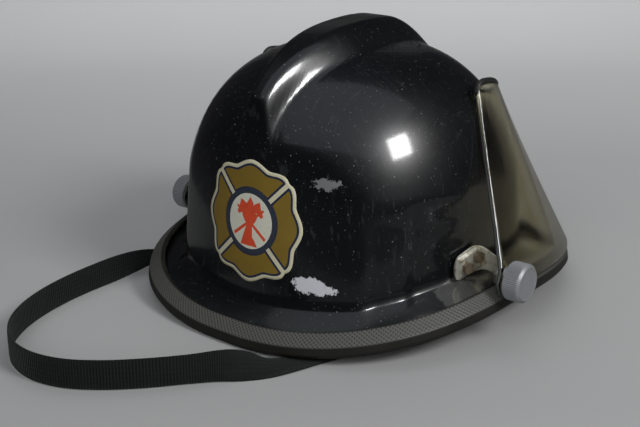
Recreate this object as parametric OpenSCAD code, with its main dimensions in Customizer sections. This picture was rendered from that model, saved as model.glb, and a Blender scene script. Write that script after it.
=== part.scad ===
// Firefighter helmet with a flip-up faceshield. Front is -Y, the wearer's right is -X, the table is Z = 0.

/* [Brim and trim] */
// Overall length of the edge trim, front to back
brim_len = 306; // [290:1:320]
// Overall width of the edge trim, side to side
brim_wid = 279; // [270:1:285]
// Height of the brim's arch over each ear
arch_h = 24; // [16:1:28]
// Visible height of the edge trim
trim_h = 14; // [12:1:16]
// Width of the edge trim, seen from above
trim_w = 11; // [9:1:12]

/* [Shell] */
// Height of the dome without its crest
dome_top = 174; // [168:1:178]
// Height of the crest above the dome
crest_h = 15; // [8:1:16]
// Half-width of the crest at the top
crest_half = 29; // [26:1:36]
// Half-width of the dome at the ears
dome_half = 112; // [108:1:114]
// Shell wall
wall = 3; // [2.5:0.1:3.5]

/* [Faceshield] */
// Height of the pivot axis
pivot_z = 42; // [40:1:44]
// Distance of the pivot axis behind the middle
pivot_y = 37; // [34:1:40]
// Thickness of the sheet
sheet = 2; // [1.5:0.1:2.5]
// Height of the rear upper corners
shield_top = 155; // [152:1:158]
// Height of the top edge at the front
shield_front_top = 120; // [118:1:124]

/* [Knobs] */
// Knob diameter
knob_d = 25; // [22:0.5:27]
// Distance over both knob faces
knob_span = 304; // [300:1:308]
// Pivot stud diameter
stud_d = 6; // [5:0.5:7]

/* [Headband] */
// Inside length of the headband
band_len = 182; // [180:1:184]
// Inside width of the headband
band_wid = 152; // [146:1:158]
// Height of the headband
band_h = 32; // [26:1:36]

/* [Chin strap] */
// Webbing width
web_w = 19; // [16:1:20]
// Webbing thickness
web_t = 1.2; // [1:0.1:1.4]

/* [Hidden] */

brim_n = 2.5;          // squareness of the brim's outline: 2 is an ellipse
brim_n_front = 2;
dome_n = 2.4;          // squareness of the dome's outline
dome_n_front = 1.9;
dome_rear = 133;       // where the dome would end if the rear face did not cut it
dome_front = 103;
dome_full_rear = 2.9;  // fullness of the dome's profile: 2 is an ellipse
dome_full_front = 2;
dome_full_side = 2.75;
foot_z = 22;           // where the wall meets the flange, at front and rear
foot_rise = 16;        // how much higher it is at the ears
face_y = 128;          // rear face at its foot
face_lean = 0.09;
face_curve = 0.0033;
face_blend = 3;
side_draw = 5;         // how far the side walls are drawn in
rib_draw = 3;
rest_angle = 6;        // half-angle of the flat stretch that the brim rests on
rows = 20;             // dome rings
turns = 72;            // points round the shell

bolt_d = 4;
bolt_len = 15;
head_d = 8;            // across the corners of the bolt heads and nuts
head_h = 3.2;
nut_at = 8;            // nuts sit this far inside the plate
bolt_gap = 9.5;
bolt_step = 5;         // how much higher the front bolt sits
plate_turn = 13;       // yaw of the bracket's plate, along the shell wall
plate_at = [-110.3, 38.2, 45];
plate_t = 1.6;
lug_x = 133.5;         // inner face of the bracket's lug
washer_t = 1.5;
knob_t = knob_span / 2 - lug_x - plate_t - 2 * washer_t - sheet - 0.2;
sheet_x = lug_x + plate_t + washer_t;

band_z = 40;
band_y = 6.5;          // the headband sits this far behind the middle
band_t = 2;
band_n = 2.2;

// ---- rules shared by the shell, the trim and the liner ----
function clamp01(t) = min(max(t, 0), 1);
function ease(a, b, v) = let(t = clamp01((v - a) / (b - a))) t * t * (3 - 2 * t);
function soft_min(a, b, k) = let(h = clamp01(0.5 + 0.5 * (b - a) / k)) b * (1 - h) + a * h - k * h * (1 - h);
function plan_r(a, bx, by, n) = pow(pow(abs(cos(a)) / bx, n) + pow(abs(sin(a)) / by, n), -1 / n);
function off_axis(a) = atan2(abs(cos(a)), abs(sin(a)));
function arch(a) = max(0, pow(sin(off_axis(a)), 2) - pow(sin(rest_angle), 2)) * arch_h;
function foot(a) = foot_z + foot_rise * pow(sin(off_axis(a)), 2);
function brim_r(a, inset) =
    plan_r(a, brim_wid / 2 - inset, brim_len / 2 - inset, sin(a) > 0 ? brim_n : brim_n_front);

// point of the dome at angle a round it and angle p down from its top, without crest or face
function dome_base(a, p) =
    let(by = sin(a) > 0 ? dome_rear : dome_front,
        w = sin(a) > 0 ? pow(sin(a), 2) : abs(sin(a)),
        m = (sin(a) > 0 ? dome_full_rear : dome_full_front) * w + dome_full_side * (1 - w),
        s = pow(sin(p), 2 / m), h = pow(max(cos(p), 0), 2 / m),
        r = plan_r(a, dome_half, by, sin(a) > 0 ? dome_n : dome_n_front))
    [r * cos(a) * s, r * sin(a) * s, foot(a) + (dome_top - foot(a)) * h];
function outward(q, a) =
    let(by = sin(a) > 0 ? dome_rear : dome_front,
        v = [q.x / pow(dome_half, 2), q.y / pow(by, 2), (q.z - foot_z) / pow(dome_top - foot_z, 2)])
    v / norm(v);
function crest_lift(q) =
    let(half = crest_half - 15 * ease(40, 115, q.y),
        ahead = ease(-90, 10, q.y))
    crest_h * (1 - ease(0.25, 1, abs(q.x) / half)) * ahead * ease(80, 125, q.z);
function rear_face(q) = [q.x,
    q.y > 0 ? soft_min(q.y, face_y - face_lean * (q.z - foot_z) - face_curve * q.x * q.x, face_blend) : q.y, q.z];
function wall_draw(q) =
    let(back = atan2(abs(q.x), q.y),
        side = 1 - 0.6 * ease(60, 75, back) * (1 - ease(110, 130, back)))
    (rib_draw * ease(35, 40, back) + (side_draw - rib_draw) * ease(47.5, 51, back)) * side
        * (1 - ease(74, 96, q.z));
function drawn_in(q) = let(f = 1 - wall_draw(q) / max(norm([q.x, q.y]), 1)) [q.x * f, q.y * f, q.z];
function dome_point(a, p) =
    let(q = dome_base(a, p)) drawn_in(rear_face(q + crest_lift(q) * outward(q, a)));

// the flange, from the wall's foot out to the edge that the trim grips
function flange_point(a, t) =
    let(q = dome_point(a, 90), r0 = norm([q.x, q.y]), r1 = brim_r(a, 5),
        z1 = arch(a) + 9.1, r = r0 + (r1 - r0) * t)
    [r * cos(a), r * sin(a), z1 + (q.z - z1) * pow(1 - t, 2.2)];

// a closed skin over rings of equal count, joined round and down, with both ends shut
module ring_skin(rings) {
    n = len(rings[0]);
    m = len(rings);
    polyhedron(points = [for (r = rings) each r],
        faces = concat(
            [for (i = [0 : m - 2], j = [0 : n - 1]) let(k = (j + 1) % n) each
                [[i * n + j, i * n + k, (i + 1) * n + k], [i * n + j, (i + 1) * n + k, (i + 1) * n + j]]],
            [for (j = [1 : n - 2]) [0, j + 1, j]],
            [for (j = [1 : n - 2]) [(m - 1) * n, (m - 1) * n + j, (m - 1) * n + j + 1]]));
}

// a band of section points swept round and closed on itself
module loop_skin(loops) {
    n = len(loops[0]);
    m = len(loops);
    polyhedron(points = [for (r = loops) each r],
        faces = [for (i = [0 : m - 1], j = [0 : n - 1]) let(k = (j + 1) % n, u = (i + 1) % m) each
            [[i * n + j, u * n + j, u * n + k], [i * n + j, u * n + k, i * n + k]]]);
}

function shrink(q, d) = let(c = [0, 0, 20], v = q - c) c + v * (1 - d / norm(v));
function dome_ring(p) = [for (j = [0 : turns - 1]) dome_point(j * 360 / turns, p)];
function flange_ring(t, drop) = [for (j = [0 : turns - 1]) flange_point(j * 360 / turns, t) - [0, 0, drop]];

module shell() {
    outer = concat([for (i = [0 : rows]) dome_ring(3 + 87 * i / rows)],
        [for (t = [0.2, 0.5, 0.8, 1]) flange_ring(t, 0)]);
    inner = concat([for (t = [1, 0.8, 0.5, 0.25]) flange_ring(t, wall)],
        [for (i = [rows : -1 : 0]) [for (q = dome_ring(3 + 87 * i / rows)) shrink(q, wall)]]);
    color("#15171a") ring_skin(concat(outer, inner));
}

trim_section = [[0, 2.5], [1.5, 0], [12, 0], [12, 5.4], [4.4, 5.4], [4.4, 9.6], [trim_w - 0.8, 9.6],
    [trim_w, trim_h - 1], [trim_w - 2, trim_h], [0.6, 6.5]];
module edge_trim() {
    color("#3c3d3b") loop_skin([for (j = [0 : turns - 1]) let(a = j * 360 / turns)
        [for (s = trim_section) let(r = brim_r(a, s.x)) [r * cos(a), r * sin(a), s.y + arch(a)]]]);
}

// four-lobed badge laid on the rear face
badge_r = 39.5;
badge_z = 73;
lobe_dip = 2.6;        // the edge dips between a lobe's middle and its corners
corner_out = 4.6;      // and the corners stand out
function off_lobe(t) = abs((t + 45) % 90 - 45);
function badge_edge(t) = let(c = off_lobe(t)) badge_r - lobe_dip * ease(0, 22, c) + corner_out * ease(20, 40, c);
function face_at(x, z, lift) =
    [x, face_y - face_lean * (z - foot_z) - face_curve * x * x + lift, z];
module badge() {
    n = 48;
    rings = 4;
    function spot(i, j, lift) = let(t = j * 360 / n, r = badge_edge(t) * i / rings)
        face_at(r * cos(t), badge_z + r * sin(t), lift);
    color("#8a7430") ring_skin(concat(
        [for (i = [1 : rings]) [for (j = [0 : n - 1]) spot(i, j, 0.7)]],
        [for (i = [rings : -1 : 1]) [for (j = [0 : n - 1]) spot(i, j, 0.25)]]));
}

module impact_liner() {
    n = 36;
    function liner_ring(p, d) = [for (j = [0 : n - 1]) shrink(rear_face(dome_base(j * 360 / n, p)), d)];
    color("#2b2b2a") ring_skin(concat(
        [for (i = [0 : 6]) liner_ring(4 + 8 * i, 6)],
        [for (i = [6 : -1 : 0]) liner_ring(4 + 8 * i, 11)]));
}

function band_outline(grow) = [for (j = [0 : 95]) let(a = j * 3.75,
    r = plan_r(a, band_wid / 2 + grow, band_len / 2 + grow, band_n)) [r * cos(a), r * sin(a)]];
module band_sector(a0, a1) {
    polygon([[0, 0], for (a = [a0 : 10 : a1]) band_len * [cos(a), sin(a)]]);
}
module headband() {
    color("#1b1b1b") translate([0, band_y, band_z]) linear_extrude(band_h) difference() {
        polygon(band_outline(band_t));
        polygon(band_outline(0));
    }
}
module sweatband() {
    color("#6b4b33") translate([0, band_y, band_z + 2]) linear_extrude(band_h - 4) intersection() {
        difference() {
            polygon(band_outline(-0.2));
            polygon(band_outline(-5));
        }
        band_sector(200, 340);
    }
}

// webbing arches from the clips over the head
module arch_strap(half, rise, width, base) {
    inner = [for (a = [0 : 7.5 : 180]) [half * cos(a), base + rise * sin(a)]];
    outer = [for (a = [180 : -7.5 : 0]) [(half + web_t) * cos(a), base + (rise + web_t) * sin(a)]];
    rotate([90, 0, 0]) translate([0, 0, -width / 2]) linear_extrude(width) polygon(concat(inner, outer));
}
strap_z = band_z + 20;
strap_out = band_t + 2.5; // straps stand this far outside the headband's inner face
long_rise = 70;        // height of each strap's arch above its clips
cross_rise = 73;
pad_drop = 10.5;       // underside of the crown pad, below the lengthwise strap's arch
module crown_strap_long() {
    color("#23251f") translate([0, band_y, 0]) rotate(90)
        arch_strap(band_len / 2 + strap_out, long_rise, web_w, strap_z);
}
module crown_strap_cross() {
    color("#23251f") translate([0, band_y, 0]) arch_strap(band_wid / 2 + strap_out, cross_rise, web_w, strap_z);
}
module crown_pad() {
    color("#2d2d2d") translate([0, band_y, strap_z + long_rise - pad_drop]) cylinder(r1 = 20, r2 = 22, h = 8, $fn = 64);
}
// blocks that hold the headband and the ends of the straps, each on two arms from the shell wall
clip_reach = [106.5, 115.5, 106.5, 99.3]; // ends of the arms, from the middle of the headband
arm_gap = 34;          // between the two arms of a clip
clip_t = 1.9;
clip_h = 5.7;
module suspension_clips() {
    color("#c9c3ae") translate([0, band_y, 0]) for (side = [0 : 3]) rotate(side * 90) {
        half = (side % 2 == 0 ? band_wid : band_len) / 2 + band_t + 0.3;
        translate([half, -arm_gap / 2 - 3, strap_z - 6]) cube([clip_t, arm_gap + 6, clip_h]);
        for (k = [-0.5, 0.5]) translate([half + clip_t - 0.1, k * arm_gap - 2.5, strap_z - 6])
            cube([clip_reach[side] - half - clip_t + 0.1, 5, 3]);
    }
}

back = band_y + band_len / 2 + band_t; // outside of the headband at the nape
module ratchet_housing() {
    color("#151515") difference() {
        translate([-34, back + 0.1, band_z - 2]) cube([68, 6, 15]);
        translate([0, back, band_z + 6.5]) rotate([-90, 0, 0]) cylinder(d = 6.4, h = 20, $fn = 32);
    }
}
module ratchet_knob() {
    color("#2a2a2a") translate([0, back + 0.4, band_z + 6.5]) rotate([-90, 0, 0]) union() {
        cylinder(d = 6, h = 6.1, $fn = 32);
        translate([0, 0, 6]) cylinder(d = 24, h = 8, $fn = 48);
        for (k = [0 : 11]) rotate(k * 30) translate([12, 0, 6]) cylinder(d = 2.4, h = 8, $fn = 16);
    }
}
module nape_pad() {
    color("#2d2d2d") translate([0, band_y, band_z + 3]) linear_extrude(band_h - 8) intersection() {
        difference() {
            polygon(band_outline(-0.2));
            polygon(band_outline(-6));
        }
        band_sector(50, 130);
    }
}

// loop plates inside the wall over the ears, each with its rivet
anchor_y = -6;
anchor_x = 101;
anchor_z = 27;
module strap_anchor(side) {
    color("#b9b9b4") translate([side * anchor_x, anchor_y, anchor_z]) union() {
        difference() {
            translate([-1, -13, 0]) cube([2, 26, 24]);
            translate([-3, -web_w / 2 - 0.4, 3]) cube([6, web_w + 0.8, 3]);
        }
        translate([0, 0, 17]) rotate([0, side * 90, 0]) cylinder(d = 5, h = 6.5, $fn = 32);
    }
}
module strap_anchor_right() { strap_anchor(-1); }
module strap_anchor_left() { strap_anchor(1); }

// centreline of the webbing from the right anchor to the left one, with its roll: 0 flat, 90 on edge
strap_route = [[-99, -6, 27], [-96, 12, 16], [-91, 34, 7], [-86, 58, 2], [-79, 84, 1], [-70, 110, 0.8],
    [-61, 134, 0.8], [-56, 150, 0.9], [-51, 163, 2.2], [-45, 176, 6], [-38, 190, 9.3], [-27, 206, 9.7],
    [-11, 226, 9.7], [7, 244, 9.7], [27, 257, 9.7], [50, 262, 9.7], [74, 257, 9.7], [94, 243, 9.7],
    [109, 223, 9.7], [119, 200, 9.7], [125, 176, 9.7], [128, 152, 9.7], [129, 128, 9.7], [129, 106, 9.2],
    [127, 84, 7.4], [123, 62, 7], [117, 40, 9], [110, 20, 13], [104, 4, 19], [99, -6, 27]];
strap_roll = [0, 0, 0, 0, 0, 0, 0, 2, 14, 45, 76, 90, 90, 90, 90, 90, 90, 90, 90, 90, 90, 90, 90, 74,
    45, 38, 30, 15, 5, 0];
function unit(v) = v / norm(v);
module chin_strap() {
    last = len(strap_route) - 1;
    loops = [for (i = [0 : last])
        let(f = unit(strap_route[min(i + 1, last)] - strap_route[max(i - 1, 0)]),
            side = unit(cross(f, [0, 0, 1])), up = cross(side, f),
            w = side * cos(strap_roll[i]) + up * sin(strap_roll[i]), h = cross(w, f))
        [for (c = [[-1, -1], [1, -1], [1, 1], [-1, 1]])
            strap_route[i] + w * c.x * (web_w / 2 - 0.05) + h * c.y * web_t / 2]];
    color("#1d2320") ring_skin(loops);
}
module strap_slider() {
    color("#b5b5b0") translate([-70, 110, 1.5]) rotate(20) difference() {
        translate([-13, -8, 0]) cube([26, 16, 1.8]);
        translate([-10, -5.5, -1]) cube([20, 3, 4]);
        translate([-10, 2.5, -1]) cube([20, 3, 4]);
    }
}

// folded plate on the shell wall, an outward web, and the lug that carries the pivot
module bracket(side) {
    module bolt_holes() {
        for (k = [0, 1]) translate([0, (k - 0.5) * bolt_gap, (1 - k) * bolt_step])
            rotate([0, 90, 0]) cylinder(d = bolt_d + 0.3, h = 30, center = true, $fn = 32);
    }
    color("#b9b8ad") mirror([side > 0 ? 1 : 0, 0, 0]) union() {
        translate(plate_at) rotate(-plate_turn) difference() {
            union() {
                translate([-plate_t, -11, -7]) cube([plate_t, 21, 19]);
                translate([-5, 8.4, -7]) cube([5, plate_t, 19]);
            }
            bolt_holes();
        }
        translate([-lug_x - plate_t, pivot_y - 9, pivot_z - 4]) cube([22.5, plate_t, 13]);
        translate([-lug_x - plate_t, 0, 0]) difference() {
            union() {
                translate([0, pivot_y, pivot_z]) rotate([0, 90, 0]) cylinder(r = 9, h = plate_t, $fn = 64);
                translate([0, pivot_y - 9, pivot_z - 4]) cube([plate_t, 9, 13]);
            }
            translate([-1, pivot_y, pivot_z]) rotate([0, 90, 0])
                cylinder(d = stud_d + 0.2, h = plate_t + 2, $fn = 48);
        }
    }
}
module bracket_right() { bracket(-1); }
module bracket_left() { bracket(1); }

module at_bolts(side) {
    mirror([side > 0 ? 1 : 0, 0, 0]) translate(plate_at) rotate(-plate_turn)
        for (k = [0, 1]) translate([0, (k - 0.5) * bolt_gap, (1 - k) * bolt_step]) rotate([0, 90, 0]) children();
}
module bracket_bolts(side) {
    color("#8d7c5f") at_bolts(side) union() {
        translate([0, 0, -plate_t - head_h - 0.1]) cylinder(d = head_d, h = head_h, $fn = 6);
        translate([0, 0, -plate_t - 0.2]) cylinder(d = bolt_d, h = bolt_len, $fn = 32);
    }
}
module bracket_bolts_right() { bracket_bolts(-1); }
module bracket_bolts_left() { bracket_bolts(1); }
module bracket_nuts(side) {
    color("#a9a9a2") at_bolts(side) translate([0, 0, nut_at]) difference() {
        cylinder(d = head_d, h = head_h, $fn = 6);
        translate([0, 0, -1]) cylinder(d = bolt_d + 0.1, h = 6, $fn = 32);
    }
}
module bracket_nuts_right() { bracket_nuts(-1); }
module bracket_nuts_left() { bracket_nuts(1); }

// everything on the pivot axis is placed by its distance out from the middle
module on_pivot(side, x) {
    translate([side * x, pivot_y, pivot_z]) rotate([0, side * 90, 0]) children();
}
module pivot_stud(side) {
    color("#b4b4ae") union() {
        on_pivot(side, lug_x - 3.2) cylinder(d = 11, h = 3.1, $fn = 6);
        on_pivot(side, lug_x - 0.2) cylinder(d = stud_d, h = 15, $fn = 48);
    }
}
module pivot_stud_right() { pivot_stud(-1); }
module pivot_stud_left() { pivot_stud(1); }
module washer(side, x, d) {
    color("#c8c8c2") on_pivot(side, x) difference() {
        cylinder(d = d, h = washer_t - 0.1, $fn = 64);
        translate([0, 0, -1]) cylinder(d = stud_d + 0.4, h = 4, $fn = 48);
    }
}
module inner_washer_right() { washer(-1, lug_x + plate_t + 0.05, 15); }
module inner_washer_left() { washer(1, lug_x + plate_t + 0.05, 15); }
module outer_washer_right() { washer(-1, sheet_x + sheet + 0.05, 22); }
module outer_washer_left() { washer(1, sheet_x + sheet + 0.05, 22); }

module thumb_knob(side) {
    color("#a7abad") on_pivot(side, sheet_x + sheet + washer_t + 0.1) difference() {
        union() {
            cylinder(d = knob_d - 1, h = knob_t - 1.2, $fn = 96);
            translate([0, 0, knob_t - 1.2]) cylinder(d1 = knob_d - 1, d2 = knob_d - 3.4, h = 1.2, $fn = 96);
            for (k = [0 : 35]) rotate(k * 10) translate([knob_d / 2 - 0.5, 0, 0])
                cylinder(d = 1, h = knob_t - 1.4, $fn = 16);
        }
        translate([0, 0, -1]) cylinder(d = stud_d + 0.1, h = knob_t - 1, $fn = 48);
    }
}
module thumb_knob_right() { thumb_knob(-1); }
module thumb_knob_left() { thumb_knob(1); }

// faceshield: ruled between a low curve over the brim and a high curve close round the crown
shield_cols = 52;
shield_rows = 10;
flat_rows = 2;               // rows below the bend, where the sheet stands upright
shield_x = sheet_x + sheet;  // outer face beside the pivot
shield_back = 13;            // how far the sheet reaches behind the pivot
eye_low = 11.5;              // and below it
flat_above = 7.5;            // the sheet stays upright this far above the pivot
side_share = 0.22;           // share of the sheet that lies behind the middle
corner_share = 0.07;         // and in each rounded upper corner
corner_r = 7;
side_low = arch(0) + 9.5;    // lower edge beside the ear
function low_edge(u) =
    u < 1 - side_share
        ? let(a = -90 + 90 * u / (1 - side_share), r = plan_r(a, shield_x, brim_len / 2 - 2, brim_n_front))
            [r * cos(a), r * sin(a), arch(a) + 13 - 3.5 * ease(-60, 0, a)]
        : let(y = (pivot_y + shield_back) * (u - 1 + side_share) / side_share,
              c = clamp01((y - pivot_y) / shield_back))
            [shield_x, y, side_low - (side_low - pivot_z + eye_low) * ease(10, pivot_y, y)
                + eye_low * (1 - sqrt(1 - c * c))];
function high_edge(u) =
    let(b = -90 + 90 * u, r = plan_r(b, 92, 110, 1.7), c = clamp01((u - 1 + corner_share) / corner_share))
    [r * cos(b), 9 + r * sin(b), shield_front_top + (shield_top - shield_front_top) * pow(cos(b), 2)
        - corner_r * (1 - sqrt(1 - c * c))];
function shield_point(u, row) =
    let(lo = low_edge(u), hi = high_edge(u),
        bend = lo.z + 3 + (pivot_z + flat_above - lo.z - 3) * ease(0.55, 0.8, u),
        z = row < flat_rows ? lo.z + (bend - lo.z) * row / flat_rows
            : bend + (hi.z - bend) * (row - flat_rows) / (shield_rows - flat_rows),
        v = (z - lo.z) / (hi.z - lo.z), w = max(0, z - bend) / (hi.z - bend))
    [lo.x + (hi.x - lo.x) * w, lo.y + (hi.y - lo.y) * v, z];
function shield_in(q, d) = let(t = ease(-40, 0, q.y), f = 1 - (1 - t) * d / norm([q.x, q.y]))
    [q.x * f - t * d, q.y * f, q.z];
function flip(q, on) = on ? [-q.x, q.y, q.z] : q;
function shield_u(i) = abs(2 * i / shield_cols - 1);
module visor() {
    loops = [for (i = [0 : shield_cols]) let(u = shield_u(i), left = i < shield_cols / 2) concat(
        [for (k = [0 : shield_rows]) flip(shield_point(u, k), left)],
        [for (k = [shield_rows : -1 : 0]) flip(shield_in(shield_point(u, k), sheet), left)])];
    color("#7d7c5e", 0.45) difference() {
        ring_skin(loops);
        for (side = [-1, 1]) on_pivot(side, sheet_x - 2) cylinder(d = stud_d + 0.3, h = sheet + 4, $fn = 48);
    }
}
edging_r = 1.8;
module visor_edging() {
    loops = [for (i = [0 : shield_cols]) let(u = shield_u(i), left = i < shield_cols / 2,
            q = shield_in(shield_point(u, shield_rows), sheet / 2), f = norm([q.x, q.y]))
        [for (k = [0 : 7]) flip(q + edging_r * [cos(k * 45) * q.x / f, cos(k * 45) * q.y / f, sin(k * 45)], left)]];
    color("#1a1a18") ring_skin(loops);
}

shell();
edge_trim();
badge();
impact_liner();
headband();
sweatband();
crown_strap_long();
crown_strap_cross();
crown_pad();
suspension_clips();
ratchet_housing();
ratchet_knob();
nape_pad();
strap_anchor_right();
strap_anchor_left();
chin_strap();
strap_slider();
bracket_right();
bracket_left();
bracket_bolts_right();
bracket_bolts_left();
bracket_nuts_right();
bracket_nuts_left();
pivot_stud_right();
pivot_stud_left();
inner_washer_right();
inner_washer_left();
outer_washer_right();
outer_washer_left();
visor();
visor_edging();
thumb_knob_right();
thumb_knob_left();
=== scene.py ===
import math

import bmesh
import bpy
import numpy as np
from mathutils import Matrix, Vector


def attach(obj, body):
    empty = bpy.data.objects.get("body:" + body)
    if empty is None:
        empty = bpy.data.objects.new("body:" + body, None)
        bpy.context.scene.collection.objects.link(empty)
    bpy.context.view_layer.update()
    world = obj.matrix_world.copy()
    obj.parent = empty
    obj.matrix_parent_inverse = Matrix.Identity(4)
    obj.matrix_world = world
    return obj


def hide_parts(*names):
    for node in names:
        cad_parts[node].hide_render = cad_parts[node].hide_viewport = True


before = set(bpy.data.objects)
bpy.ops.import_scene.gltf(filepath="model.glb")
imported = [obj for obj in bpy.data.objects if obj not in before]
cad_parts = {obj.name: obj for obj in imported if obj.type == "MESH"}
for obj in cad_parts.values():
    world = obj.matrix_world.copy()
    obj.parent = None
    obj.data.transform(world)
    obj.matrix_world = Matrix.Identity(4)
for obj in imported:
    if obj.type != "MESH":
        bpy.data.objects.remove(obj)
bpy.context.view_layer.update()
mm = 0.001

cameraSettings = {
    "azimuth": 219.5,      # degrees, seen from behind and the wearer's right
    "elevation": 18.7,
    "distance": 0.8237,
    "lookAt": (0.0268, 0.0215, 0.0456),
    "lens": 64.5,
}


def makeCamera(s):
    az, el = math.radians(s["azimuth"]), math.radians(s["elevation"])
    back = Vector((math.sin(az) * math.cos(el), -math.cos(az) * math.cos(el), math.sin(el)))
    right = Vector((math.cos(az), math.sin(az), 0))
    up = back.cross(right)
    data = bpy.data.cameras.new("camera")
    data.lens = s["lens"]
    data.sensor_width = 36
    data.clip_start = 0.01
    camera = bpy.data.objects.new("camera", data)
    bpy.context.scene.collection.objects.link(camera)
    turn = Matrix((right, up, back)).transposed().to_4x4()
    turn.translation = Vector(s["lookAt"]) + back * s["distance"]
    camera.matrix_world = turn
    bpy.context.scene.camera = camera


makeCamera(cameraSettings)
print("camera ready")


def addObject(name, mesh):
    obj = bpy.data.objects.new(name, mesh)
    bpy.context.scene.collection.objects.link(obj)
    return obj


def finishMesh(bm, name):
    mesh = bpy.data.meshes.new(name)
    bm.to_mesh(mesh)
    bm.free()
    for face in mesh.polygons:
        face.use_smooth = True
    return addObject(name, mesh)


# A flat grid whose points are carried to place(u, v); u closes on itself when it goes round.
def gridPiece(name, across, along, place, uvSize=(1, 1), capEnds=False, tint=None):
    bm = bmesh.new()
    bmesh.ops.create_grid(bm, x_segments=across, y_segments=along, size=0.5)
    flat = np.array([v.co for v in bm.verts])
    u, v = flat[:, 0] + 0.5, flat[:, 1] + 0.5
    layer = bm.loops.layers.uv.new("UVMap")
    for face in bm.faces:
        for loop in face.loops:
            co = loop.vert.co
            loop[layer].uv = ((co.x + 0.5) * uvSize[0], (co.y + 0.5) * uvSize[1])
    if tint is not None:
        shade = bm.verts.layers.float.new("shade")
        values = tint(u, v)
        for vert, value in zip(bm.verts, values):
            vert[shade] = value
    for vert, point in zip(bm.verts, place(u, v)):
        vert.co = point
    bmesh.ops.remove_doubles(bm, verts=bm.verts, dist=1e-6)
    if capEnds:
        bmesh.ops.holes_fill(bm, edges=[e for e in bm.edges if e.is_boundary], sides=0)
    bmesh.ops.recalc_face_normals(bm, faces=bm.faces)
    return finishMesh(bm, name)


def smoothStep(low, high, value):
    t = np.clip((value - low) / (high - low), 0, 1)
    return t * t * (3 - 2 * t)


def newMaterial(name, **sockets):
    material = bpy.data.materials.new(name)
    material.use_nodes = True
    shader = material.node_tree.nodes["Principled BSDF"]
    for key, value in sockets.items():
        shader.inputs[key.replace("_", " ")].default_value = value
    return material, material.node_tree, shader


def addNode(tree, kind, inputs=None, **values):
    node = tree.nodes.new("ShaderNode" + kind)
    for key, value in values.items():
        setattr(node, key, value)
    for key, value in (inputs or {}).items():
        if isinstance(value, bpy.types.NodeSocket):
            tree.links.new(value, node.inputs[key])
        else:
            node.inputs[key].default_value = value
    return node


def noiseAt(tree, scale, detail=4, roughness=0.55, stretch=None, turn=(0, 0, 0)):
    coords = addNode(tree, "TexCoord").outputs["Object"]
    if stretch:
        coords = addNode(tree, "Mapping", {"Vector": coords, "Scale": stretch, "Rotation": turn}).outputs[0]
    return addNode(tree, "TexNoise", {"Vector": coords, "Scale": scale, "Detail": detail,
                                      "Roughness": roughness}).outputs["Fac"]


def ramp(tree, value, *stops):
    node = addNode(tree, "ValToRGB", {"Fac": value})
    ends = node.color_ramp.elements
    while len(ends) < len(stops):
        ends.new(0.5)
    for end, (place, colour) in zip(ends, stops):
        end.position = place
        end.color = (*colour, 1) if isinstance(colour, tuple) else (colour, colour, colour, 1)
    return node.outputs["Color"]


def mixColour(tree, factor, a, b):
    node = addNode(tree, "Mix", data_type="RGBA")
    for socket, value in zip((node.inputs[0], node.inputs[6], node.inputs[7]), (factor, a, b)):
        if isinstance(value, bpy.types.NodeSocket):
            tree.links.new(value, socket)
        else:
            socket.default_value = (*value, 1) if isinstance(value, tuple) else value
    return node.outputs[2]


def maths(tree, operation, *values, clamp=False):
    node = addNode(tree, "Math", operation=operation, use_clamp=clamp)
    for socket, value in zip(node.inputs, values):
        if isinstance(value, bpy.types.NodeSocket):
            tree.links.new(value, socket)
        else:
            socket.default_value = value
    return node.outputs[0]


def bumpFrom(tree, shader, height, distance, strength):
    node = addNode(tree, "Bump", {"Height": height, "Distance": distance, "Strength": strength})
    tree.links.new(node.outputs[0], shader.inputs["Normal"])


# gives a part from the frame its material, without touching its mesh
def dressNode(node, material):
    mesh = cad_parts[node].data
    if not mesh.materials:
        mesh.materials.append(material)
    for i in range(len(mesh.materials)):
        mesh.materials[i] = material


strapSettings = {
    "width": 19 * mm,
    "thickness": 1.2 * mm,
    "around": 32,          # points round the webbing
    "perSpan": 10,         # rows between two route points
}
# the webbing's centreline in millimetres, and how far it is rolled on its side at each point
strapRoute = [
    (-99, -6, 27), (-96, 12, 16), (-91, 34, 7), (-86, 58, 2), (-79, 84, 1), (-70, 110, 0.8),
    (-61, 134, 0.8), (-56, 150, 0.9), (-51, 163, 2.2), (-45, 176, 6), (-38, 190, 9.3), (-27, 206, 9.7),
    (-11, 226, 9.7), (7, 244, 9.7), (27, 257, 9.7), (50, 262, 9.7), (74, 257, 9.7), (94, 243, 9.7),
    (109, 223, 9.7), (119, 200, 9.7), (125, 176, 9.7), (128, 152, 9.7), (129, 128, 9.7), (129, 106, 9.2),
    (127, 84, 7.4), (123, 62, 7), (117, 40, 9), (110, 20, 13), (104, 4, 19), (99, -6, 27),
]
strapRoll = [0, 0, 0, 0, 0, 0, 0, 2, 14, 45, 76, 90, 90, 90, 90, 90, 90, 90, 90, 90, 90, 90, 90, 74,
             45, 38, 30, 15, 5, 0]


def smoothThrough(points, perSpan):
    pts = np.array(points, float)
    padded = np.vstack([2 * pts[0] - pts[1], pts, 2 * pts[-1] - pts[-2]])
    rows = []
    for i in range(len(pts) - 1):
        a, b, c, d = padded[i:i + 4]
        for t in np.arange(perSpan) / perSpan:
            rows.append(0.5 * (2 * b + (c - a) * t + (2 * a - 5 * b + 4 * c - d) * t ** 2
                               + (3 * b - a - 3 * c + d) * t ** 3))
    rows.append(pts[-1])
    return np.array(rows)


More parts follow.
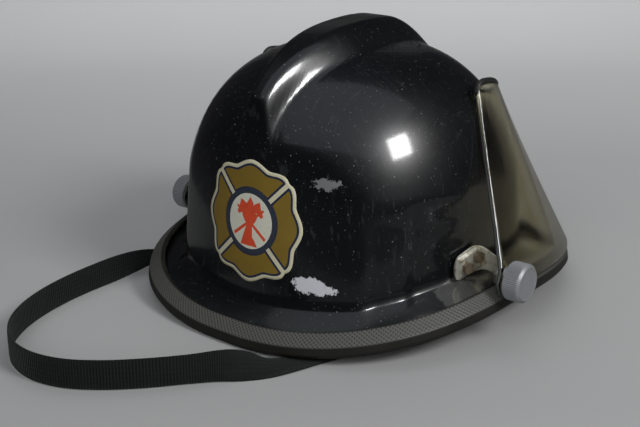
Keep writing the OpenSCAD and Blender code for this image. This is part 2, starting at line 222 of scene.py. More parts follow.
def makeStrap(s):
    path = smoothThrough(strapRoute, s["perSpan"]) * mm
    roll = np.radians(smoothThrough([(r, 0, 0) for r in strapRoll], s["perSpan"])[:, 0])
    ahead = np.gradient(path, axis=0)
    ahead /= np.linalg.norm(ahead, axis=1, keepdims=True)
    side = np.cross(ahead, (0, 0, 1))
    side /= np.linalg.norm(side, axis=1, keepdims=True)
    up = np.cross(side, ahead)
    wide = side * np.cos(roll)[:, None] + up * np.sin(roll)[:, None]
    thin = np.cross(wide, ahead)
    length = float(np.linalg.norm(np.diff(path, axis=0), axis=1).sum())

    def place(u, v):
        row = np.clip(np.round(v * (len(path) - 1)).astype(int), 0, len(path) - 1)
        angle = 2 * np.pi * u
        x = np.sign(np.cos(angle)) * np.abs(np.cos(angle)) ** 0.35 * s["width"] / 2
        y = np.sign(np.sin(angle)) * np.abs(np.sin(angle)) ** 0.5 * s["thickness"] / 2
        return path[row] + wide[row] * x[:, None] + thin[row] * y[:, None]

    strap = gridPiece("chinStrap", s["around"], len(path) - 1, place,
                      uvSize=(2, length / s["width"]), capEnds=True)
    strap.data.materials.append(makeWebbing())
    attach(strap, "root")
    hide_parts("chin_strap")
    return length


def makeWebbing():
    material, tree, shader = newMaterial("webbing", Roughness=0.8, Sheen_Weight=0.06, Sheen_Roughness=0.4,
                                         Specular_IOR_Level=0.2)
    uv = addNode(tree, "TexCoord").outputs["UV"]
    ribs = addNode(tree, "TexWave", {"Vector": uv, "Scale": 3.6, "Distortion": 0.4, "Detail": 1.0},
                   bands_direction="Y").outputs["Fac"]
    threads = addNode(tree, "TexWave", {"Vector": uv, "Scale": 9.0, "Distortion": 0.6, "Detail": 1.0},
                      bands_direction="X").outputs["Fac"]
    weave = maths(tree, "MULTIPLY", ribs, maths(tree, "MULTIPLY_ADD", threads, 0.4, 0.6))
    dust = noiseAt(tree, 60, 5)
    cloth = ramp(tree, weave, (0.1, (0.002, 0.003, 0.003)), (0.9, (0.009, 0.012, 0.011)))
    faded = mixColour(tree, maths(tree, "MULTIPLY", dust, 0.35), cloth, (0.018, 0.021, 0.018))
    tree.links.new(faded, shader.inputs["Base Color"])
    bumpFrom(tree, shader, weave, 0.0006, 0.8)
    return material


strapLength = makeStrap(strapSettings)
print("chin strap made,", round(strapLength, 3), "m")

shellSettings = {
    "around": 360,
    "domeRows": 130, "flangeRows": 20, "underRows": 16, "insideRows": 60,
    "halfWidth": 112, "rear": 133, "front": 103,        # dome outline at its foot
    "squareRear": 2.4, "squareFront": 1.9,
    "fullRear": 2.9, "fullFront": 2.0, "fullSide": 2.75,  # 2 is an ellipse
    "top": 174,
    "crest": 15, "crestHalf": 29, "crestTaper": 15,       # the taper narrows it towards the rear
    "crestAlong": (-90, 10), "crestNarrows": (40, 115), "crestUp": (80, 125),
    "foot": 22, "footRise": 16,
    "face": 128, "faceLean": 0.09, "faceCurve": 0.0033, "faceBlend": 3,
    "sideDraw": 5, "ribDraw": 3, "drawFades": (74, 96),   # fades out between these heights
    "ribTurn": (35, 40), "sideTurn": (47.5, 51),          # degrees from straight back
    "wall": 3, "centre": 20,                              # inner faces shrink towards this height
}
brimSettings = {
    "length": 306, "width": 279,
    "squareRear": 2.5, "squareFront": 2.0,
    "arch": 24, "restAngle": 6,
    "grip": 5, "flangeHeight": 9.1, "flangeCurl": 2.2,    # where the trim holds the flange
    "trimHeight": 14, "trimWidth": 11,
    "knurlAround": 330, "knurlDepth": 0.62, "knurlPitch": 2.8,
}


def planRadius(cosA, sinA, halfX, halfY, n):
    return (np.abs(cosA / halfX) ** n + np.abs(sinA / halfY) ** n) ** (-1 / n)


def brimRadius(cosA, sinA, inset):
    b = brimSettings
    square = np.where(sinA > 0, b["squareRear"], b["squareFront"])
    return planRadius(cosA, sinA, b["width"] / 2 - inset, b["length"] / 2 - inset, square)


def sideShare(cosA, sinA):
    return cosA ** 2 / (cosA ** 2 + sinA ** 2)


def brimArch(cosA, sinA):
    flat = math.sin(math.radians(brimSettings["restAngle"])) ** 2
    return np.maximum(0, sideShare(cosA, sinA) - flat) * brimSettings["arch"]


def softMin(a, b, k):
    h = np.clip(0.5 + 0.5 * (b - a) / k, 0, 1)
    return b * (1 - h) + a * h - k * h * (1 - h)


# dome without crest or rear face, at angle a round it and p down from its top, both in radians; millimetres
def plainDome(a, p):
    s = shellSettings
    ca, sa = np.cos(a), np.sin(a)
    halfY = np.where(sa > 0, s["rear"], s["front"])
    weight = np.where(sa > 0, sa ** 2, np.abs(sa))
    full = np.where(sa > 0, s["fullRear"], s["fullFront"]) * weight + s["fullSide"] * (1 - weight)
    spread = np.sin(p) ** (2 / full)
    height = np.maximum(np.cos(p), 0) ** (2 / full)
    r = planRadius(ca, sa, s["halfWidth"], halfY, np.where(sa > 0, s["squareRear"], s["squareFront"]))
    foot = s["foot"] + s["footRise"] * sideShare(ca, sa)
    return r * ca * spread, r * sa * spread, foot + (s["top"] - foot) * height


# the upright rear face cuts the dome off
def cutByFace(x, y, z):
    s = shellSettings
    face = s["face"] - s["faceLean"] * (z - s["foot"]) - s["faceCurve"] * x ** 2
    return np.where(y > 0, softMin(y, face, s["faceBlend"]), y)


def domePoint(a, p):
    s = shellSettings
    x, y, z = plainDome(a, p)
    # crest, pushed out along the dome's own direction
    half = s["crestHalf"] - s["crestTaper"] * smoothStep(*s["crestNarrows"], y)
    beside = 1 - smoothStep(0.25, 1, np.abs(x) / half)
    lift = s["crest"] * beside * smoothStep(*s["crestAlong"], y) * smoothStep(*s["crestUp"], z)
    halfY = np.where(np.sin(a) > 0, s["rear"], s["front"])
    nx, ny, nz = x / s["halfWidth"] ** 2, y / halfY ** 2, (z - s["foot"]) / (s["top"] - s["foot"]) ** 2
    size = np.sqrt(nx ** 2 + ny ** 2 + nz ** 2)
    x, y, z = x + lift * nx / size, y + lift * ny / size, z + lift * nz / size
    y = cutByFace(x, y, z)
    # side walls and the upright rib beside the face are drawn in, less so over the ears
    back = np.degrees(np.arctan2(np.abs(x), y))
    overEars = smoothStep(60, 75, back) * (1 - smoothStep(110, 130, back))
    draw = s["ribDraw"] * smoothStep(*s["ribTurn"], back)
    draw = draw + (s["sideDraw"] - s["ribDraw"]) * smoothStep(*s["sideTurn"], back)
    draw = draw * (1 - 0.6 * overEars) * (1 - smoothStep(*s["drawFades"], z))
    keep = 1 - draw / np.maximum(np.hypot(x, y), 1)
    return np.stack([x * keep, y * keep, z], -1)


def flangePoint(a, t):
    b = brimSettings
    ca, sa = np.cos(a), np.sin(a)
    root = domePoint(a, np.full_like(a, math.pi / 2))
    r0, r1 = np.hypot(root[:, 0], root[:, 1]), brimRadius(ca, sa, b["grip"])
    low = brimArch(ca, sa) + b["flangeHeight"]
    r = r0 + (r1 - r0) * t
    return np.stack([r * ca, r * sa, low + (root[:, 2] - low) * (1 - t) ** b["flangeCurl"]], -1)


def shrinkPoint(q, d):
    centre = np.array([0, 0, shellSettings["centre"]])
    v = q - centre
    return centre + v * (1 - d / np.linalg.norm(v, axis=-1, keepdims=True))


def makeShell(s):
    # rows, from the crown down the outside, out over the flange, back under it and up the inside
    sections = [("dome", s["domeRows"]), ("flange", s["flangeRows"]), ("under", s["underRows"]),
                ("inside", s["insideRows"])]
    total = sum(count for _, count in sections)
    down = np.array([0, 0, s["wall"]])

    def place(u, v):
        a = 2 * np.pi * u
        row = v * total
        points = np.zeros((len(u), 3))
        start = 0
        for name, count in sections:
            here = (row >= start - 1e-6) & (row <= start + count + 1e-6)
            t = np.clip((row[here] - start) / count, 0, 1)
            if name == "dome":
                points[here] = domePoint(a[here], t * math.pi / 2)
            elif name == "flange":
                points[here] = flangePoint(a[here], t)
            elif name == "under":
                points[here] = flangePoint(a[here], 1 - t) - down * smoothStep(0, 0.06, t)[:, None]
            else:
                inner = shrinkPoint(domePoint(a[here], (1 - t) * math.pi / 2), s["wall"])
                under = flangePoint(a[here], 0 * t) - down
                mix = smoothStep(0, 0.08, t)[:, None]
                points[here] = under * (1 - mix) + inner * mix
            start += count
        return points * mm

    shell = gridPiece("shell", s["around"], total, place)
    shell.data.materials.append(makeShellPlastic())
    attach(shell, "root")
    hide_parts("shell")


# a blotch round one place on the shell, with a torn edge; 1 inside and 0 outside
def blotch(tree, centre, size, torn, scale):
    coords = addNode(tree, "TexCoord").outputs["Object"]
    moved = addNode(tree, "Mapping", {"Vector": coords, "Location": centre, "Scale": size},
                    vector_type="TEXTURE").outputs[0]
    reach = addNode(tree, "VectorMath", {0: moved}, operation="LENGTH").outputs["Value"]
    uneven = maths(tree, "SUBTRACT", noiseAt(tree, scale, 5, 0.7), 0.5)
    ragged = maths(tree, "MULTIPLY_ADD", uneven, torn, reach)
    return ramp(tree, ragged, (0.62, 1.0), (0.70, 0.0))


def makeShellPlastic():
    material, tree, shader = newMaterial("shellPlastic", Specular_IOR_Level=0.6, Coat_Weight=1.0,
                                         Coat_Roughness=0.11, Coat_IOR=1.45)
    haze = ramp(tree, noiseAt(tree, 14, 5), (0.35, 0.0), (0.75, 1.0))
    lengthwise = noiseAt(tree, 90, 3, stretch=(1, 7, 0.7), turn=(0.4, 0.3, 0.8))
    crosswise = noiseAt(tree, 80, 3, stretch=(6, 0.8, 1), turn=(0.2, 0.9, 0.1))
    scratches = ramp(tree, lengthwise, (0.62, 0.0), (0.70, 1.0))
    crossed = ramp(tree, crosswise, (0.64, 0.0), (0.72, 1.0))
    specks = ramp(tree, noiseAt(tree, 700, 1), (0.72, 0.0), (0.77, 1.0))
    marks = maths(tree, "MAXIMUM", scratches, crossed)
    wear = maths(tree, "MULTIPLY", marks, haze)
    black, hazed = (0.0015, 0.0018, 0.0022), (0.005, 0.006, 0.009)
    colour = mixColour(tree, maths(tree, "MULTIPLY", haze, 0.35), black, hazed)
    colour = mixColour(tree, maths(tree, "MULTIPLY", wear, 0.10), colour, (0.2, 0.21, 0.22))
    colour = mixColour(tree, maths(tree, "MULTIPLY", specks, 0.45), colour, (0.25, 0.25, 0.24))
    residue = blotch(tree, (-0.047, 0.119, 0.0390), (0.019, 0.02, 0.0080), 1.7, 110)
    scuff = blotch(tree, (-0.053, 0.112, 0.1045), (0.012, 0.014, 0.0055), 3.0, 300)
    dusty = blotch(tree, (-0.112, 0.052, 0.030), (0.02, 0.03, 0.014), 1.4, 90)
    colour = mixColour(tree, maths(tree, "MULTIPLY", dusty, 0.22), colour, (0.2, 0.2, 0.19))
    colour = mixColour(tree, maths(tree, "MULTIPLY", scuff, 0.35), colour, (0.36, 0.36, 0.38))
    colour = mixColour(tree, residue, colour, (0.44, 0.45, 0.48))
    tree.links.new(colour, shader.inputs["Base Color"])
    covered = maths(tree, "MAXIMUM", residue, maths(tree, "MULTIPLY", scuff, 0.5))
    tree.links.new(maths(tree, "SUBTRACT", 1.0, covered, clamp=True), shader.inputs["Coat Weight"])
    rough = maths(tree, "MULTIPLY_ADD", haze, 0.10, 0.31)
    tree.links.new(maths(tree, "MULTIPLY_ADD", covered, 0.5, rough, clamp=True), shader.inputs["Roughness"])
    return material


makeShell(shellSettings)
print("shell made")


def makeTrim(b):
    # section of the moulding, from its inner lip round to the sloping face, and the rows in each side
    corner = [(0, 2.5), (1.5, 0), (12, 0), (12, 5.4), (4.4, 5.4), (4.4, 9.6), (b["trimWidth"] - 0.8, 9.6),
              (b["trimWidth"], b["trimHeight"] - 1), (b["trimWidth"] - 2, b["trimHeight"]), (0.6, 6.5)]
    counts = [3, 4, 2, 3, 1, 3, 2, 3, 20, 5]
    slope = 8              # the side that carries the knurl
    outline, knurled = [], []
    for i, (p, n) in enumerate(zip(corner, counts)):
        q = corner[(i + 1) % len(corner)]
        for k in range(n):
            t = k / n
            outline.append((p[0] + (q[0] - p[0]) * t, p[1] + (q[1] - p[1]) * t))
            knurled.append(min(1, 12 * t * (1 - t)) if i == slope else 0)
    outline, knurled = np.array(outline), np.array(knurled)
    run = np.concatenate([[0], np.cumsum(np.linalg.norm(np.diff(outline, axis=0), axis=1))])
    rows = len(outline)

    def ridge(u, v):
        row = np.round(v * rows).astype(int) % rows
        along = u * b["knurlAround"]
        across = run[row] / b["knurlPitch"]
        wave = np.abs(np.modf(along + across)[0] - 0.5) + np.abs(np.modf(along - across + 40)[0] - 0.5)
        return knurled[row] * (1 - np.clip(wave, 0, 1)) * 2, row

    def place(u, v):
        height, row = ridge(u, v)
        a = 2 * np.pi * u
        ca, sa = np.cos(a), np.sin(a)
        lift = np.clip(height, 0, 1) * b["knurlDepth"]
        inset = outline[row, 0] - lift * 0.62
        r = brimRadius(ca, sa, inset)
        z = outline[row, 1] + lift * 0.78 + brimArch(ca, sa)
        return np.stack([r * ca, r * sa, z], -1) * mm

    # ridge height per point; the rubber uses it to paint the ridge tops lighter, partly worn rubber and
    # partly a painted highlight
    def tint(u, v):
        return np.clip(ridge(u, v)[0], 0, 1)

    trim = gridPiece("edgeTrim", b["knurlAround"] * 4, rows, place, tint=tint)
    trim.data.materials.append(makeTrimRubber())
    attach(trim, "root")
    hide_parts("edge_trim")


def makeTrimRubber():
    material, tree, shader = newMaterial("trimRubber", Roughness=0.5, Specular_IOR_Level=0.4)
    ridge = addNode(tree, "Attribute", attribute_name="shade").outputs["Fac"]
    grime = noiseAt(tree, 45, 5)
    # ridge tops painted lighter: partly worn rubber, partly a painted highlight where the ridges catch the
    # light
    highlitRidgeTops = maths(tree, "POWER", ridge, 2.0)
    worn = mixColour(tree, highlitRidgeTops, (0.005, 0.005, 0.005), (0.075, 0.075, 0.07))
    colour = mixColour(tree, maths(tree, "MULTIPLY", grime, 0.22), worn, (0.06, 0.055, 0.045))
    tree.links.new(colour, shader.inputs["Base Color"])
    tree.links.new(maths(tree, "MULTIPLY_ADD", grime, 0.3, 0.32), shader.inputs["Roughness"])
    bumpFrom(tree, shader, noiseAt(tree, 700, 2), 0.0002, 0.5)
    return material


makeTrim(brimSettings)
print("edge trim made")

shieldSettings = {
    "columns": 150, "rows": 46,
    "sheet": 2.0,
    "pivotY": 37, "pivotZ": 42, "outerX": 138.6,
    "topHalf": 92, "topLength": 110, "topY": 9, "topSquareness": 1.7,
    "topFront": 120, "topSide": 155,
    "backReach": 13, "lowReach": 11.5, "sideShare": 0.22, "flatAbove": 7.5, "flatRows": 0.2,
    "cornerShare": 0.07, "corner": 7,
    "frontLift": 13, "sideDrop": 3.5, "turnUp": 10,        # lower edge over the brim
    "bendLift": 3, "bendRises": (0.55, 0.8),               # below the bend the sheet stands upright
    "bead": 1.8,
}


def shieldLow(u, s):
    share = s["sideShare"]
    a = np.radians(-90 + 90 * np.clip(u / (1 - share), 0, 1))
    ca, sa = np.cos(a), np.sin(a)
    r = planRadius(ca, sa, s["outerX"], brimSettings["length"] / 2 - 2, brimSettings["squareFront"])
    lift = s["frontLift"] - s["sideDrop"] * smoothStep(-60, 0, np.degrees(a))
    ahead = np.stack([r * ca, r * sa, brimArch(ca, sa) + lift], -1)
    y = (s["pivotY"] + s["backReach"]) * np.clip(u - 1 + share, 0, 1) / share
    c = np.clip((y - s["pivotY"]) / s["backReach"], 0, 1)
    sideZ = brimArch(np.array(1.0), np.array(0.0)) + s["frontLift"] - s["sideDrop"]
    z = sideZ - (sideZ - s["pivotZ"] + s["lowReach"]) * smoothStep(s["turnUp"], s["pivotY"], y)
    z = z + s["lowReach"] * (1 - np.sqrt(1 - c ** 2))
    beside = np.stack([np.full_like(y, s["outerX"]), y, z], -1)
    return np.where((u < 1 - share)[:, None], ahead, beside)


def shieldHigh(u, s):
    b = np.radians(-90 + 90 * u)
    cb, sb = np.cos(b), np.sin(b)
    r = planRadius(cb, sb, s["topHalf"], s["topLength"], s["topSquareness"])
    c = np.clip((u - 1 + s["cornerShare"]) / s["cornerShare"], 0, 1)
    z = s["topFront"] + (s["topSide"] - s["topFront"]) * cb ** 2 - s["corner"] * (1 - np.sqrt(1 - c ** 2))
    return np.stack([r * cb, s["topY"] + r * sb, z], -1)


# the sheet stands upright beside the knobs and leans in above them
def shieldPoint(u, v, s):
    low, high = shieldLow(u, s), shieldHigh(u, s)
    first = low[:, 2] + s["bendLift"]
    bend = first + (s["pivotZ"] + s["flatAbove"] - first) * smoothStep(*s["bendRises"], u)
    share = s["flatRows"]
    z = np.where(v < share, low[:, 2] + (bend - low[:, 2]) * v / share,
                 bend + (high[:, 2] - bend) * (v - share) / (1 - share))
    up = (z - low[:, 2]) / (high[:, 2] - low[:, 2])
    lean = np.maximum(0, z - bend) / (high[:, 2] - bend)
    x = low[:, 0] + (high[:, 0] - low[:, 0]) * lean
    y = low[:, 1] + (high[:, 1] - low[:, 1]) * up
    return np.stack([x, y, z], -1)


def makeShield(s):
    def place(u, v):
        side = np.where(u < 0.5, 1, -1)
        outer = shieldPoint(np.abs(2 * u - 1), v, s)
        flat = smoothStep(-40, 0, outer[:, 1])
        inward = outer[:, :2] / np.linalg.norm(outer[:, :2], axis=1, keepdims=True)
        half = s["sheet"] / 2
        x = outer[:, 0] - half * (flat + (1 - flat) * inward[:, 0])
        y = outer[:, 1] - half * (1 - flat) * inward[:, 1]
        return np.stack([x * side, y, outer[:, 2]], -1) * mm

    shield = gridPiece("faceshield", s["columns"], s["rows"], place)
    thick = shield.modifiers.new("sheet", "SOLIDIFY")
    thick.thickness = s["sheet"] * mm
    thick.offset = 0
    thick.use_rim = True
    thick.material_offset_rim = 1
    thick.use_even_offset = True
    shield.data.materials.append(makeShieldSheet())
    shield.data.materials.append(makeShieldRim())
    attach(shield, "faceshield")
    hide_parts("visor")

    # round bead along the top edge
    def bead(u, v):
        side = np.where(v < 0.5, 1, -1)
        top = shieldPoint(np.abs(2 * v - 1), np.ones_like(v), s)
        out = top[:, :2] / np.linalg.norm(top[:, :2], axis=1, keepdims=True)
        angle = 2 * np.pi * u
        x = top[:, 0] + out[:, 0] * (s["bead"] * np.cos(angle) - 1)
        y = top[:, 1] + out[:, 1] * (s["bead"] * np.cos(angle) - 1)
        z = top[:, 2] + s["bead"] * np.sin(angle)
        return np.stack([x * side, y, z], -1) * mm

    edging = gridPiece("shieldEdging", 12, s["columns"], bead, capEnds=True)
    edging.data.materials.append(makePlainRubber("edgingRubber", 0.012, 0.45))
    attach(edging, "faceshield")
    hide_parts("visor_edging")


def makeShieldSheet():
    material, tree, shader = newMaterial("shieldSheet", Transmission_Weight=1.0, IOR=1.45, Roughness=0.06)
    smears = noiseAt(tree, 18, 6, 0.6, stretch=(1, 1, 0.5))
    dirt = ramp(tree, noiseAt(tree, 60, 6, 0.65), (0.45, 0.0), (0.75, 1.0))
    tint = mixColour(tree, smears, (0.84, 0.82, 0.70), (0.66, 0.63, 0.48))
    stained = mixColour(tree, maths(tree, "MULTIPLY", dirt, 0.35), tint, (0.55, 0.42, 0.18))
    tree.links.new(stained, shader.inputs["Base Color"])
    tree.links.new(maths(tree, "MULTIPLY_ADD", smears, 0.16, 0.02), shader.inputs["Roughness"])
    return material


def makeShieldRim():
    material, tree, shader = newMaterial("shieldRim", Roughness=0.42, Specular_IOR_Level=0.3)
    colour = mixColour(tree, noiseAt(tree, 60, 4), (0.015, 0.017, 0.015), (0.10, 0.11, 0.10))
    tree.links.new(colour, shader.inputs["Base Color"])
    return material


def makePlainRubber(name, tone, rough):
    material, tree, shader = newMaterial(name, Roughness=rough)
    colour = mixColour(tree, noiseAt(tree, 80, 4), (tone, tone, tone), (tone * 2.2, tone * 2.2, tone * 2))
    tree.links.new(colour, shader.inputs["Base Color"])
    bumpFrom(tree, shader, noiseAt(tree, 900, 2), 0.0001, 0.4)
    return material


makeShield(shieldSettings)
print("faceshield made")

knobSettings = {
    "diameter": 25, "teeth": 64, "toothDepth": 0.45,
    "inner": 140.2, "outer": 152.0,
    "chamfer": 1.3, "dish": 0.25,
}


def makeKnob(side, s):
    y0, z0 = shieldSettings["pivotY"], shieldSettings["pivotZ"]
    r = s["diameter"] / 2
    length = s["outer"] - s["inner"]
    # radius and distance out along the axis, from the hub behind to the middle of the face
    edge = length - s["chamfer"]
    profile = [(3.2, 0.0), (9.6, 0.0), (r - 0.9, 0.0), (r - 0.2, 0.5), (r, 0.9), (r, edge - 0.9),
               (r - 0.1, edge - 0.5), (r - 0.5, edge), (r - s["chamfer"] - 0.5, length),
               (r - s["chamfer"] - 1.0, length), (r - 3, length - s["dish"]), (4.0, length - s["dish"]),
               (0.0, length - s["dish"])]
    runs = [3, 3, 2, 2, 10, 1, 1, 3, 1, 2, 8, 4]
    line = []
    for (p, q), n in zip(zip(profile, profile[1:]), runs):
        line += [(p[0] + (q[0] - p[0]) * k / n, p[1] + (q[1] - p[1]) * k / n) for k in range(n)]
    line.append(profile[-1])
    line = np.array(line)

    def place(u, v):
        row = np.round(v * (len(line) - 1)).astype(int)
        rad, out = line[row, 0], line[row, 1]
        a = 2 * np.pi * u
        tooth = np.abs(np.modf(u * s["teeth"])[0] - 0.5) * 2
        onRim = smoothStep(0.3, 1.2, out) * (1 - smoothStep(edge - 0.9, edge + 0.2, out))
        rad = rad - tooth * s["toothDepth"] * onRim * (rad > r - 1)
        return np.stack([side * (s["inner"] + out), y0 + rad * np.cos(a), z0 + rad * np.sin(a)], -1) * mm

    name = "right" if side < 0 else "left"
    knob = gridPiece(name + "Knob", s["teeth"] * 4, len(line) - 1, place, capEnds=True)
    bevel = knob.modifiers.new("crisp", "EDGE_SPLIT")
    bevel.split_angle = math.radians(28)
    knob.data.materials.append(knobMetal)
    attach(knob, name + "_knob")
    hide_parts("thumb_knob_" + name)


def makeMetal(name, light, dark, rough, grain, stain=None, metallic=1.0):
    material, tree, shader = newMaterial(name, Metallic=metallic)
    patches = noiseAt(tree, 90, 5)
    colour = mixColour(tree, patches, light, dark)
    if stain:
        spots = ramp(tree, noiseAt(tree, 260, 4), (0.5, 0.0), (0.66, 1.0))
        colour = mixColour(tree, maths(tree, "MULTIPLY", spots, 0.8), colour, stain)
    tree.links.new(colour, shader.inputs["Base Color"])
    tree.links.new(maths(tree, "MULTIPLY_ADD", patches, 0.25, rough), shader.inputs["Roughness"])
    bumpFrom(tree, shader, noiseAt(tree, grain, 3), 0.0001, 0.35)
    return material


knobMetal = makeMetal("knobMetal", (0.33, 0.34, 0.355), (0.24, 0.245, 0.26), 0.34, 1200, metallic=0.45)
washerMetal = makeMetal("washerMetal", (0.75, 0.75, 0.73), (0.5, 0.5, 0.48), 0.12, 800, (0.3, 0.28, 0.24))
bracketMetal = makeMetal("bracketMetal", (0.55, 0.55, 0.49), (0.36, 0.35, 0.29), 0.3, 700,
                         (0.2, 0.16, 0.10), 0.6)
boltMetal = makeMetal("boltMetal", (0.21, 0.17, 0.11), (0.12, 0.09, 0.06), 0.4, 600, (0.06, 0.045, 0.03), 0.5)
platedSteel = makeMetal("platedSteel", (0.6, 0.6, 0.58), (0.42, 0.42, 0.41), 0.3, 600, (0.3, 0.27, 0.2))

bracketSettings = {
    # middle line of the folded strip, seen from above, from its rear end to the eye on the stud
    "route": [(-108.6, 51), (-109.6, 46.5), (-110.8, 41), (-112, 35.5), (-113.6, 30.5), (-117.5, 28),
              (-122.5, 28.2), (-127.5, 29.8), (-131.8, 32.6), (-134.1, 37.5), (-134.3, 44)],
    "middle": [44.6, 45.2, 46.6, 48, 48.4, 47, 45.4, 44, 43, 42.2, 42],
    "width": [15, 17, 18, 18, 16, 13.5, 12.5, 13, 15, 17, 16],
    "thickness": 1.5, "lip": 1.6, "perSpan": 12, "around": 64,
}


def makeBracket(side, s):
    path = smoothThrough([(x, y, z) for (x, y), z in zip(s["route"], s["middle"])], s["perSpan"])
    width = smoothThrough([(w, 0, 0) for w in s["width"]], s["perSpan"])[:, 0]
    ahead = np.gradient(path, axis=0)
    ahead /= np.linalg.norm(ahead, axis=1, keepdims=True)
    out = np.cross(ahead, (0, 0, -1))
    out /= np.linalg.norm(out, axis=1, keepdims=True)
    last = len(path) - 1

    def place(u, v):
        row = np.round(v * last).astype(int)
        around = 2 * np.pi * u
        c = np.sign(np.cos(around)) * np.abs(np.cos(around)) ** 0.3
        thin = np.sign(np.sin(around)) * np.abs(np.sin(around)) ** 0.4 * s["thickness"] / 2
        end = np.minimum(row, last - row) / last
        rounded = np.sqrt(np.clip(1 - (1 - np.clip(end / 0.09, 0, 1)) ** 3, 0.02, 1))
        onPlate = 1 - smoothStep(0.28, 0.42, v)
        lip = np.maximum(smoothStep(0.66, 0.9, np.abs(c)), 1 - smoothStep(0.03, 0.08, v)) * onPlate * s["lip"]
        half = width[row] / 2 * rounded
        q = path[row] + out[row] * (thin + lip)[:, None] + np.stack([0 * c, 0 * c, c * half], -1)
        return q * np.array([side * -1.0, 1, 1]) * mm

    name = "right" if side < 0 else "left"
    bracket = gridPiece(name + "Bracket", s["around"], last, place, capEnds=True)
    bracket.data.materials.append(bracketMetal)
    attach(bracket, "root")
    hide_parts("bracket_" + name)


for sign in (-1, 1):
    makeKnob(sign, knobSettings)
    makeBracket(sign, bracketSettings)
for hand in ("right", "left"):
    dressNode("inner_washer_" + hand, washerMetal)
    dressNode("outer_washer_" + hand, washerMetal)
    dressNode("bracket_bolts_" + hand, boltMetal)
    dressNode("bracket_nuts_" + hand, platedSteel)
    dressNode("pivot_stud_" + hand, platedSteel)
    dressNode("strap_anchor_" + hand, platedSteel)
dressNode("strap_slider", platedSteel)
print("hardware made")


badgeSettings = {
    "z": 73,                 # height of its middle on the rear face
    "lobe": 39.5, "dip": 2.6, "corner": 4.6, "clip": 0.8,
    "border": 2.3, "outline": 1.5, "diagonal": 1.5, "cornerReach": 32,
    "disc": 17.8, "ring": 21.4, "deviceSize": 1.18,
    "lift": 0.35, "layer": 0.05,
}


def onRearFace(x, z, lift):
    s = shellSettings
    y = s["face"] - s["faceLean"] * (z - s["foot"]) - s["faceCurve"] * x ** 2 + lift
    return np.stack([x, y, z], -1) * mm


def badgeEdge(t, b):
    c = np.abs((np.degrees(t) + 45) % 90 - 45)
    return (b["lobe"] - b["dip"] * smoothStep(0, 22, c) + b["corner"] * smoothStep(20, 40, c)
            - b["clip"] * smoothStep(40, 45, c))


def badgeLayer(name, across, along, polar, level, material, b):
    def place(u, v):
        t, r = polar(u, v)
        lift = b["lift"] + level * b["layer"]
        return onRearFace(r * np.sin(t), b["z"] + r * np.cos(t), lift)

    layer = gridPiece(name, across, along, place, uvSize=(1, 1))
    layer.data.materials.append(material)
    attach(layer, "root")


def badgeLobe(name, k, inset, level, material, b):
    def polar(u, v):
        middle = k * math.pi / 2
        inner = b["ring"] + inset * 0.5
        turn = (u - 0.5) * 2
        t = middle + turn * (math.pi / 4 - np.arcsin((b["diagonal"] + inset) / b["cornerReach"]))
        r = inner + (badgeEdge(t, b) - b["border"] - inset - inner) * v
        t = middle + turn * (math.pi / 4 - np.arcsin((b["diagonal"] + inset) / r))
        return t, r

    badgeLayer(name, 40, 12, polar, level, material, b)


# flat outlines of the device, in millimetres from the badge's middle
deviceShapes = {
    "flame": [(0, 13.5), (2.2, 10), (1.6, 8.4), (4.6, 6.4), (5.4, 2.6), (3.4, -0.6), (0, -2), (-3.4, -0.6),
              (-5.2, 2.4), (-3.8, 6), (-2.2, 7.2), (-2.4, 10)],
    "base": [(-6, -13.5), (6, -13.5), (4.2, -10.5), (2.2, -8.5), (1.8, -1), (-1.8, -1), (-2.2, -8.5),
             (-4.2, -10.5)],
    "handle": [(-0.9, -14), (0.9, -14), (0.7, 12), (-0.7, 12)],
    "axe": [(-0.7, 7), (-5, 5), (-5.8, 8.6), (-5, 12.2), (-0.7, 10.6), (2.6, 9.8), (2.6, 7.8)],
}


def makeDevice(b):
    placed = [("flame", 0, 1), ("base", 0, 1)]
    for side in (-1, 1):
        placed += [("handle", 52 * side, side), ("axe", 52 * side, side)]
    bm = bmesh.new()
    for name, turn, side in placed:
        angle = math.radians(turn)
        corners = []
        for x, z in deviceShapes[name]:
            x, z = b["deviceSize"] * side * x, b["deviceSize"] * z
            corners.append(bm.verts.new((x * math.cos(angle) + z * math.sin(angle), 0,
                                         z * math.cos(angle) - x * math.sin(angle))))
        bm.faces.new(corners)
    bmesh.ops.triangulate(bm, faces=bm.faces)
    bmesh.ops.subdivide_edges(bm, edges=bm.edges, cuts=3, use_grid_fill=True)
    for vert in bm.verts:
        x, z = np.array(vert.co.x), np.array(vert.co.z + b["z"])
        vert.co = onRearFace(x, z, b["lift"] + 4 * b["layer"])
    for face in bm.faces:
        face.normal_update()
        if face.normal.y < 0:
            face.normal_flip()
    device = finishMesh(bm, "badgeDevice")
    device.data.materials.append(makeVinyl("vinylRed", (0.62, 0.07, 0.025), (0.42, 0.05, 0.02)))
    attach(device, "root")


def makeVinyl(name, light, dark):
    material, tree, shader = newMaterial(name, Specular_IOR_Level=0.4)
    wear = noiseAt(tree, 70, 6, 0.65)
    specks = ramp(tree, noiseAt(tree, 700, 2), (0.66, 0.0), (0.74, 1.0))
    colour = mixColour(tree, wear, light, dark)
    colour = mixColour(tree, maths(tree, "MULTIPLY", specks, 0.5), colour, (0.05, 0.05, 0.05))
    tree.links.new(colour, shader.inputs["Base Color"])
    tree.links.new(maths(tree, "MULTIPLY_ADD", wear, 0.25, 0.25), shader.inputs["Roughness"])
    bumpFrom(tree, shader, noiseAt(tree, 300, 3), 0.0001, 0.3)
    return material


